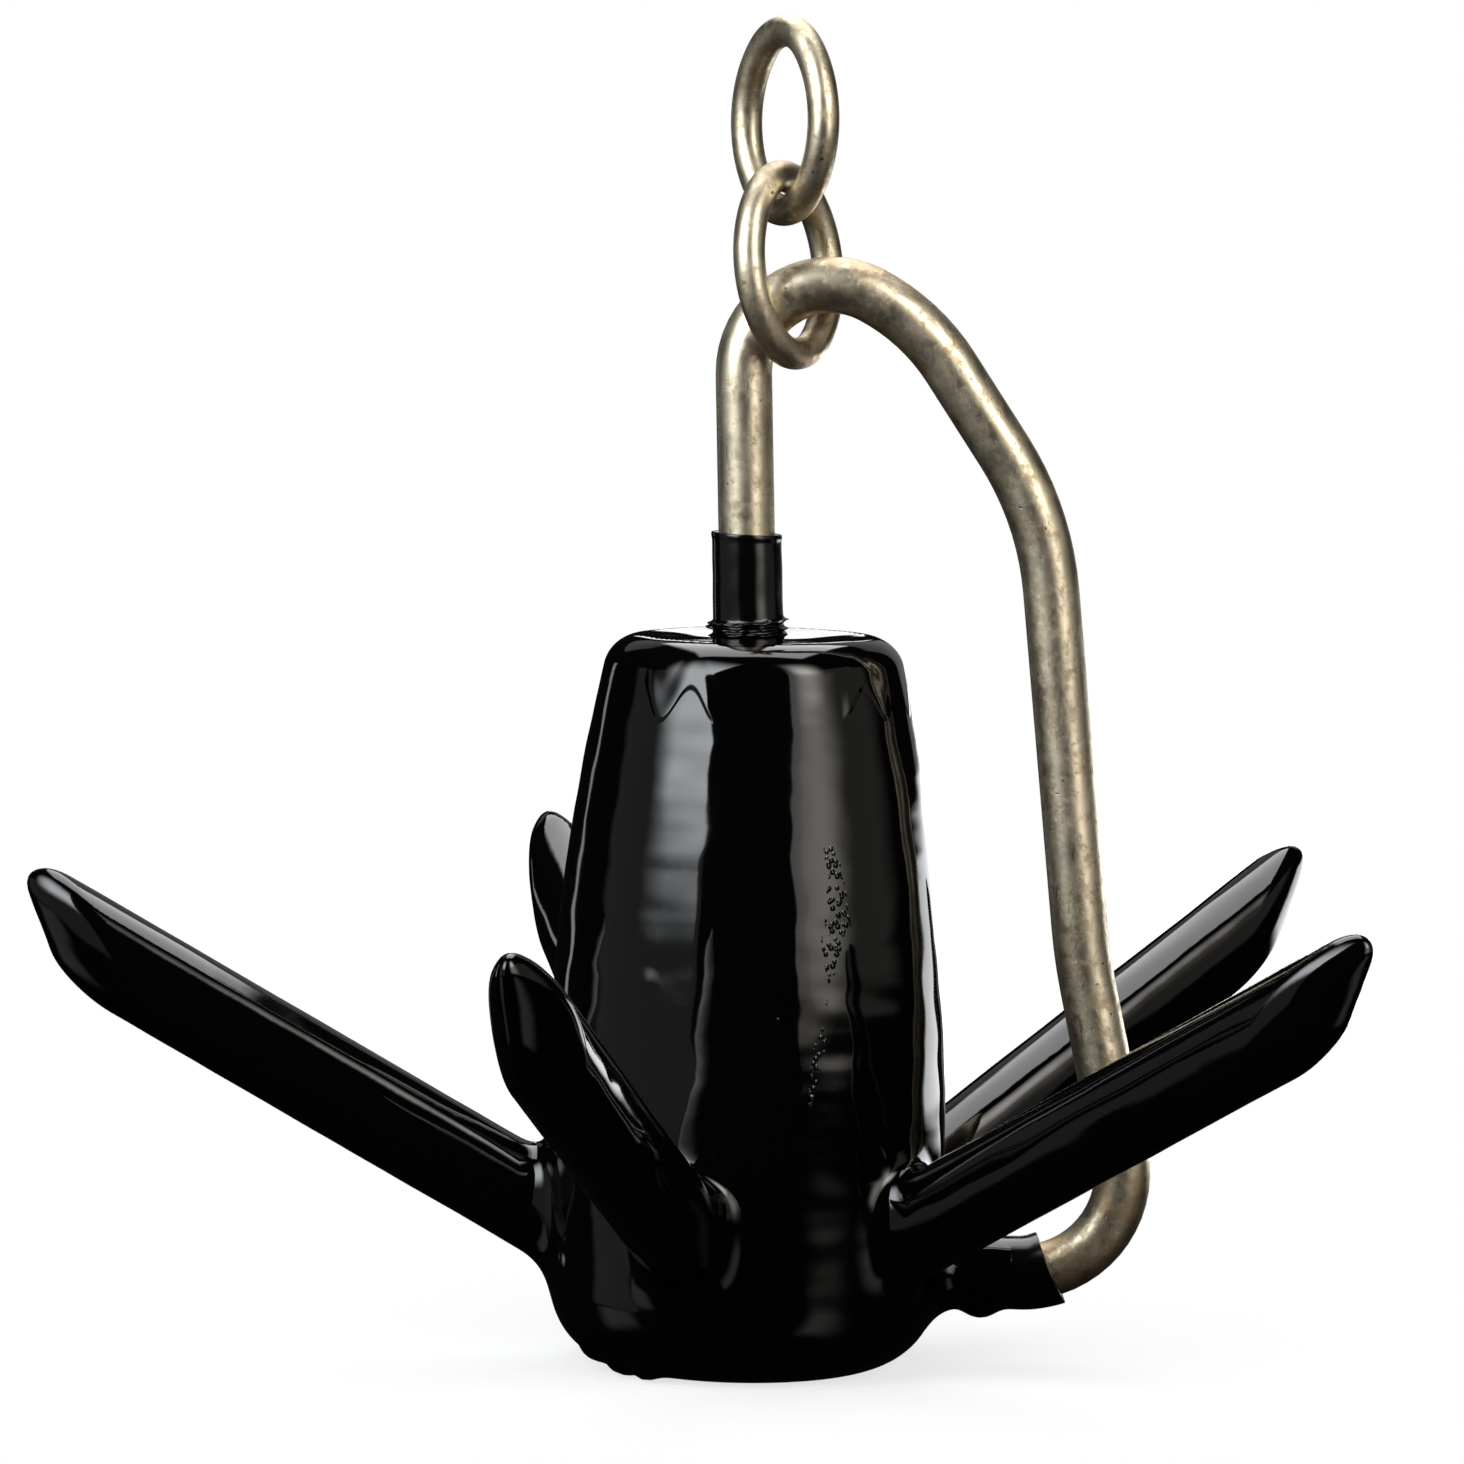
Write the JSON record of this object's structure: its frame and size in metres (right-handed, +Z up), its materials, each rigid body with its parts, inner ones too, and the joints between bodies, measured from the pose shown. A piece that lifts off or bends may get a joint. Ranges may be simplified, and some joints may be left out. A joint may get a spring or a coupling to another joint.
{
  "type": "river anchor",
  "caption": "Coated cast iron river anchor with pointed flukes, a bent steel bail rod and oval links for the line.",
  "frame": {"origin": "centre of the flat base, on the plane that the anchor stands on", "axes": "+Z up along the axis of the body, +X towards the side of the body that carries the bail"},
  "size_m": [0.2968, 0.3116, 0.3049],
  "materials": {
    "black_coat": "glossy black vinyl coat over cast iron",
    "rod_steel": "satin, with brown tarnish",
    "link_steel": "satin, with fine pits and tarnish"
  },
  "bodies": {
    "anchor": {"anchor_casting": "black_coat", "bail_rod": "rod_steel"},
    "slip_link": {"slip_link": "link_steel"},
    "line_link": {"line_link": "link_steel"}
  },
  "joints": [
    {"name": "slip_link_swing", "type": "hinge", "parent": "anchor", "child": "slip_link", "pos_m": [0.0163, 0, 0.24472], "axis": [1, 0, 0], "range_deg": [-100, 0]},
    {"name": "line_link_swing", "type": "hinge", "parent": "slip_link", "child": "line_link", "pos_m": [0.005, 0.00212, 0.26882], "axis": [0.7167, 0.6962, -0.0396], "range_deg": [-55, 90]}
  ]
}
